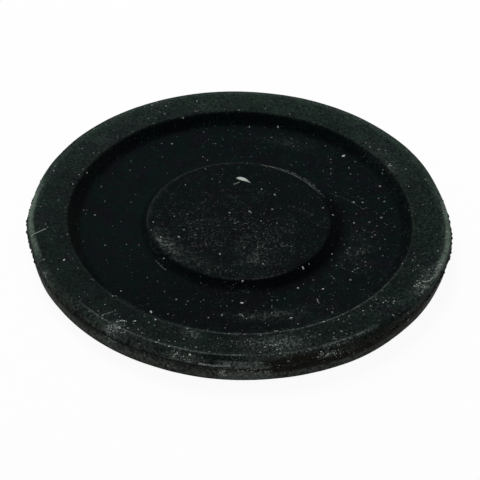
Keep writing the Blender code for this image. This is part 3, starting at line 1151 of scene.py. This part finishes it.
# %% Grains that catch the eye
# Each grain: the two coordinates of its pixel, its size in millimetres and its brightness
BRIGHT_GRAINS = (
    (343.5, 156, 0.36, 0.9), (349, 168, 0.20, 0.5), (278, 127, 0.24, 0.6), (183, 118, 0.22, 0.5),
    (87, 173, 0.24, 0.6), (83, 169, 0.16, 0.4), (64, 260, 0.34, 0.9), (95, 215, 0.22, 0.5),
    (151, 312, 0.40, 0.8), (121, 291, 0.22, 0.5), (113, 296, 0.20, 0.6), (116, 296, 0.20, 0.5),
    (222, 315, 0.22, 0.5), (261, 221, 0.20, 0.6), (220, 254, 0.22, 0.6), (354, 223, 0.22, 0.7),
    (333, 215, 0.24, 0.7), (332, 254, 0.22, 0.7), (303, 268, 0.34, 0.95), (309, 264, 0.20, 0.6),
    (298, 288, 0.26, 0.7), (323, 289, 0.28, 0.8), (291, 318, 0.26, 0.7), (242, 303, 0.28, 0.9),
    (349, 316, 0.20, 0.6), (393, 315, 0.20, 0.6), (408, 313, 0.18, 0.5), (190, 355, 0.20, 0.8),
    (370, 147, 0.20, 0.5), (366, 143, 0.16, 0.4), (390, 164, 0.20, 0.5), (383, 170, 0.16, 0.4),
    (406, 169, 0.18, 0.4), (275, 195, 0.18, 0.5), (197, 101, 0.18, 0.5), (166, 106, 0.20, 0.5),
    (160, 112, 0.16, 0.4), (153.3, 222, 0.20, 0.8), (151, 230, 0.16, 0.6), (160.9, 237, 0.20, 0.8),
    (178.8, 237, 0.26, 0.8), (183.9, 229.7, 0.20, 0.6), (163.8, 258.4, 0.20, 0.7), (212.1, 178.9, 0.16, 0.5),
    (219.8, 181.9, 0.14, 0.4), (229.5, 212.8, 0.2, 0.6), (261.6, 189.1, 0.18, 0.5), (274.6, 194.2, 0.16, 0.5),
    (247.3, 163.6, 0.16, 0.5), (269.8, 183, 0.14, 0.4), (357, 231, 0.16, 0.5), (375, 235, 0.16, 0.5),
    (380, 249, 0.14, 0.4), (117, 322, 0.16, 0.9), (124, 321, 0.18, 0.9), (135, 321, 0.18, 0.8),
    (318, 357, 0.20, 0.8), (328, 354, 0.20, 0.8), (334, 353, 0.18, 0.7), (349, 352, 0.18, 0.6),
    (44, 273, 0.20, 0.8), (45.5, 276.5, 0.18, 0.7), (40.5, 206.5, 0.20, 0.3), (189.5, 354.5, 0.20, 0.9),
    (242.6, 281.2, 0.24, 0.8), (338.6, 319.6, 0.18, 0.5), (265, 347, 0.20, 0.7), (270, 345, 0.18, 0.6),
    (128, 328, 0.18, 0.8), (117, 328, 0.16, 0.7), (142, 333, 0.14, 0.6), (186, 304.4, 0.16, 0.4),
    (168, 314, 0.16, 0.4), (277, 331, 0.18, 0.6), (225, 328, 0.14, 0.5), (73, 184, 0.18, 0.5),
)

# %% Rows of fine grains
# Each row: its path in pixels, how far its grains stray from that in pixels, their size in millimetres, their
# brightness, and how many pixels apart they are
GRAIN_ROWS = {
    "zigzag on the right shoulder": (
        ((444, 266), (441.7, 263.7), (437.6, 268.6), (438.2, 272.6), (435.6, 276.7), (432, 278.8),
         (429, 280.8), (423.4, 281.8), (419.8, 283.4), (416.2, 286.4)),
        0.9, 0.14, 0.5, 0.45,
    ),
    "below the zigzag": (((425.9, 286.4), (421.8, 291), (418.8, 294)), 0.7, 0.09, 0.4, 0.8),
    "back edge of the boss at the right": (
        ((262, 165), (278, 168), (290, 171.5), (305, 179), (316, 187.5), (325, 198)), 0.35, 0.10, 0.5, 0.6
    ),
    "streak at the boss's foot": (((156.1, 260.9), (161, 266), (166.6, 270.5)), 0.3, 0.09, 0.35, 0.5),
    "scratch on the boss": (((288, 205), (301, 210), (315, 216)), 0.3, 0.05, 0.18, 0.6),
    "short scratch on the boss": (((270, 220), (275, 218.5), (280, 218)), 0.3, 0.05, 0.15, 0.6),
    "scratch on the ring": (((330, 193), (348, 200), (365, 210)), 0.5, 0.06, 0.22, 0.7),
    "dash on the front land": (((117, 321), (122, 320.5), (127, 321)), 0.4, 0.12, 0.8, 0.6),
    "short dash beside it": (((133, 321.5), (137, 320.5)), 0.3, 0.12, 0.8, 0.6),
    "dash on the ring": (((317, 298.5), (318.5, 303)), 0.3, 0.14, 0.8, 0.5),
    "second dash on the ring": (((239, 314), (244, 316.5)), 0.3, 0.10, 0.6, 0.6),
    "beside the flake": (((234.3, 184.2), (237, 183), (239.4, 182)), 0.2, 0.12, 0.5, 0.4),
    "edge of the ridge at the front": (
        ((199, 363.4), (206, 364.8), (214, 366), (224, 366.2), (231, 365.6)), 0.4, 0.14, 0.7, 0.4
    ),
    "left part of the pale patch on the wall": (((221.5, 370), (224, 375)), 1.6, 0.16, 0.6, 0.25),
    "middle of that patch": (((240, 372), (270, 373)), 2.0, 0.14, 0.45, 0.5),
    "pale streak at the left of the wall": (((110, 326), (108, 336)), 1.8, 0.14, 0.5, 0.35),
    "grains on the upper wall": (((173, 354), (181, 357), (189, 360)), 2.0, 0.13, 0.8, 0.5),
    "more of them at the right": (((317, 357), (326, 354.5), (340, 350.5)), 2.8, 0.13, 0.7, 0.5),
}


def along_path(path, spacing):
    """Places this many pixels apart along a path of pixels."""
    for (x0, y0), (x1, y1) in zip(path, path[1:]):
        count = max(1, round(math.dist((x0, y0), (x1, y1)) / spacing))
        for step in range(count):
            yield x0 + (x1 - x0) * step / count, y0 + (y1 - y0) * step / count


random_numbers = np.random.default_rng(3)
grain_spots = list(BRIGHT_GRAINS)
for path, stray, size, brightness, spacing in GRAIN_ROWS.values():
    for x, y in along_path(path, spacing):
        x_off, y_off = random_numbers.normal(0, stray, 2)
        share = random_numbers.uniform(0.4, 1.2)
        grain_spots.append((x + x_off, y + 0.6 * y_off, size * share, brightness * share))
print(f"{len(grain_spots)} grains have their own pixel")

# %% Set those grains on the rubber


def placed_grains_tree():
    """A grain on each point of a mesh that says which way is out and how big and bright the grain is."""
    inputs = (("Spots", "Geometry"), ("Material", "Material"))
    tree, given, result = new_tree("GeometryNodeTree", "Placed Grains", inputs, (("Grains", "Geometry"),))
    points = add_node(tree, "GeometryNodeMeshToPoints", {"Mesh": given["Spots"]}).outputs[0]
    inputs = {"Name": "outward"}
    outward = add_node(tree, "GeometryNodeInputNamedAttribute", inputs, data_type="FLOAT_VECTOR").outputs[0]
    size, brightness = field(tree, "size"), field(tree, "shine")
    grains = grains_on(tree, points, outward, size, brightness, given["Material"])
    tree.links.new(grains, result["Grains"])
    return tree


def spot_mesh(spots):
    """A mesh of loose points on the rubber, one for each pixel, with its size and its brightness."""
    hits = [surface_at(x, y) for x, y, _, _ in spots]
    sizes = [size * MM for _, _, size, _ in spots]
    shines = [brightness for _, _, _, brightness in spots]
    mesh = point_mesh("spots", [place for place, _ in hits], size=sizes, shine=shines)
    outward = mesh.attributes.new("outward", "FLOAT_VECTOR", "POINT")
    outward.data.foreach_set("vector", [c for _, direction in hits for c in direction])
    return mesh


placed = grow("placed_talc", spot_mesh(grain_spots), placed_grains_tree(), {"Material": talc_powder})

# %% [markdown]
# ## Lint and a flake
# Two fibres have stuck to the rim, each a thin tube along a path of pixels. On the boss lies one larger
# flake, a small raised chip whose pale colour is a painted glint, which is the brightest mark on the disc. It
# is a row of rings that reach from its back edge to its front edge, rounded by a Subdivision Surface
# modifier.

# %% Fibres
# Each fibre: its path in pixels and how thick it is
FIBRES = {
    "over the left edge": (((46, 229), (41.5, 231), (37, 233), (33.5, 234.5), (31.5, 237)), 0.14 * MM),
    "on the front land": (((101.5, 315), (106, 314), (110, 312.5), (113, 312)), 0.06 * MM),
}
UNEVEN_SPACING = 0.3 * MM


def fibre_lines():
    """A mesh with one line for each fibre, so low that the tube round it is nearly half sunk in."""
    points, edges, widths = [], [], []
    for path, width in FIBRES.values():
        first = len(points)
        for x, y in along_path(path + path[-1:], 1.0):
            place, direction = surface_at(x, y)
            points.append(place + direction * width * 0.1)
            widths.append(width)
        edges.extend(chain(first, len(points) - 1))
    return point_mesh("fibre_lines", points, edges, width=widths)


def fibres_tree():
    """A tube round each line, as wide as its points say and a little uneven."""
    inputs = (
        ("Lines", "Geometry"),
        ("Sides", "Int", 8),
        ("Brightness", "Float", 0.6),
        ("Material", "Material"),
    )
    tree, given, result = new_tree("GeometryNodeTree", "Fibres", inputs, (("Tubes", "Geometry"),))
    line = add_node(tree, "GeometryNodeMeshToCurve", {"Mesh": given["Lines"]}).outputs[0]
    here = add_node(tree, "GeometryNodeInputPosition").outputs[0]
    uneven = maths(tree, "MULTIPLY_ADD", centred_noise(tree, here, 1 / UNEVEN_SPACING), 0.6, 1.0)
    radius = maths(tree, "MULTIPLY", maths(tree, "MULTIPLY", field(tree, "width"), uneven), 0.5)
    circle = add_node(tree, "GeometryNodeCurvePrimitiveCircle", {"Resolution": given["Sides"], "Radius": 1.0})
    inputs = {"Curve": line, "Profile Curve": circle.outputs[0], "Scale": radius, "Fill Caps": True}
    tubes = add_node(tree, "GeometryNodeCurveToMesh", inputs).outputs[0]
    tubes = stored(tree, tubes, "brightness", given["Brightness"])
    tree.links.new(made_plain(tree, tubes, given["Material"]), result["Tubes"])
    return tree


fibres = grow("lint", fibre_lines(), fibres_tree(), {"Sides": 8, "Brightness": 0.5, "Material": talc_powder})

# %% The flake
# Its outline on the boss, from the left tip to the right one, as pixels of its back edge and its front edge
FLAKE_BACK_EDGE = ((235.9, 177.9), (238.5, 176.9), (242, 176.9), (245.5, 178.4), (248.8, 181), (251, 183.6))
FLAKE_FRONT_EDGE = (
    (235.9, 178.5), (238.5, 179.9), (242, 180.9), (245.5, 181.6), (248.8, 182.8), (251, 183.8)
)
# How bright each ring is, highest near the middle, as a painted glint
FLAKE_GLINT = (0.45, 0.8, 1.0, 0.9, 0.55, 0.35)
FLAKE_THICKNESS = 0.10 * MM
FLAKE_LIFT = 0.3 * FLAKE_THICKNESS
FLAKE_SIDES = 8
FLAKE_SMOOTHING = 2


def flake_piece():
    """A splinter that swells from one tip and tapers to the other, lying on the boss."""
    bm = bmesh.new()
    glint_layer = bm.verts.layers.float.new("brightness")
    rings = []
    for back, front, brightness in zip(FLAKE_BACK_EDGE, FLAKE_FRONT_EDGE, FLAKE_GLINT):
        back_place, up = surface_at(*back)
        front_place = surface_at(*front)[0]
        middle = (back_place + front_place) / 2
        half_width = (back_place - front_place) / 2
        ring = []
        for side in range(FLAKE_SIDES):
            angle = math.tau * side / FLAKE_SIDES
            lift = FLAKE_LIFT + FLAKE_THICKNESS / 2 * math.sin(angle)
            vert = bm.verts.new(middle + half_width * math.cos(angle) + up * lift)
            vert[glint_layer] = brightness
            ring.append(vert)
        rings.append(ring)
    for ring, after in zip(rings, rings[1:]):
        for side in range(FLAKE_SIDES):
            beside = (side + 1) % FLAKE_SIDES
            bm.faces.new((ring[side], ring[beside], after[beside], after[side]))
    bm.faces.new(rings[0])
    bm.faces.new(rings[-1])
    bmesh.ops.recalc_face_normals(bm, faces=bm.faces)
    mesh = bpy.data.meshes.new("flake")
    bm.to_mesh(mesh)
    bm.free()
    mesh.shade_smooth()
    # It takes the talc's material, whose brightness here paints the glint
    mesh.materials.append(talc_powder)
    flake = bpy.data.objects.new("flake", mesh)
    bpy.context.scene.collection.objects.link(flake)
    rounding = flake.modifiers.new("rounding", "SUBSURF")
    rounding.levels = FLAKE_SMOOTHING
    rounding.render_levels = FLAKE_SMOOTHING
    return flake


flake = flake_piece()
print(f"flake: {len(flake.data.vertices)} points before it is rounded")

# %% [markdown]
# ## The set
# A white sheet under soft light. The sheet is white to the camera only by a share of plain glow, and the
# rest of it is lit, so it keeps the disc's shadow. The light comes from above and behind.

# %% Floor
FLOOR_SIZE = 4.0
FLOOR_COLOUR = (0.90, 0.90, 0.90, 1)
FLOOR_GLOW = 0.94


def shows_background(tree):
    """1 for a ray from the camera or one that gloss or glass sends on, and 0 for a ray that only lights."""
    path = add_node(tree, "ShaderNodeLightPath").outputs
    seen = maths(tree, "MAXIMUM", path["Is Camera Ray"], path["Is Glossy Ray"])
    return maths(tree, "MAXIMUM", seen, path["Is Transmission Ray"])


def make_floor():
    """A flat sheet under the disc that shows white to the camera and keeps the shadow."""
    half = FLOOR_SIZE / 2
    mesh = bpy.data.meshes.new("floor")
    corners = [(-half, -half, 0), (half, -half, 0), (half, half, 0), (-half, half, 0)]
    mesh.from_pydata(corners, [], [(0, 1, 2, 3)])
    floor = bpy.data.objects.new("floor", mesh)
    bpy.context.scene.collection.objects.link(floor)
    material = bpy.data.materials.new("white_sheet")
    material.use_nodes = True
    tree = material.node_tree
    tree.nodes.remove(tree.nodes["Principled BSDF"])
    output = tree.nodes["Material Output"]
    lit = add_node(tree, "ShaderNodeBsdfDiffuse", {"Color": FLOOR_COLOUR}).outputs[0]
    glow = add_node(tree, "ShaderNodeEmission", {"Color": (1, 1, 1, 1), "Strength": 1.0}).outputs[0]
    share = maths(tree, "MULTIPLY", shows_background(tree), FLOOR_GLOW)
    mixed = add_node(tree, "ShaderNodeMixShader", {0: share, 1: lit, 2: glow}).outputs[0]
    tree.links.new(mixed, output.inputs["Surface"])
    mesh.materials.append(material)
    return floor


floor = make_floor()

# %% World and lamps
WORLD_LIGHT = 0.25
LAMP_PLACE = (-0.15, 0.38, 0.50)
LAMP_SIZE = 0.30
LAMP_POWER = 3.6


def make_world():
    """White to the camera, dim to everything else."""
    world = bpy.data.worlds.new("studio")
    bpy.context.scene.world = world
    world.use_nodes = True
    tree = world.node_tree
    background = tree.nodes["Background"]
    strength = ramp(tree, shows_background(tree), 0.0, 1.0, WORLD_LIGHT, 1.0, smooth=False)
    background.inputs["Color"].default_value = (1, 1, 1, 1)
    tree.links.new(strength, background.inputs["Strength"])


def soft_lamp(name, place, size, power):
    """A square soft lamp that points at the disc's middle."""
    data = bpy.data.lights.new(name, "AREA")
    data.size = size
    data.energy = power
    lamp = bpy.data.objects.new(name, data)
    lamp.location = place
    lamp.rotation_euler = (Vector(place) - disc_middle).to_track_quat("Z", "Y").to_euler()
    bpy.context.scene.collection.objects.link(lamp)
    return lamp


make_world()
soft_lamp("overhead_lamp", LAMP_PLACE, LAMP_SIZE, LAMP_POWER)
bpy.context.scene.view_settings.view_transform = "Standard"
print(f"set: a white floor, a world at {WORLD_LIGHT} and one lamp of {LAMP_POWER} W")

# %% [markdown]
# ## The pieces on their body
# Each piece rides on the part's one body. The disc stands for the imported solid, which is then not shown.

# %% Ride and finish
for piece in (disc, flash, scattered, placed, fibres, flake):
    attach(piece, "root")
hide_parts("diaphragm")
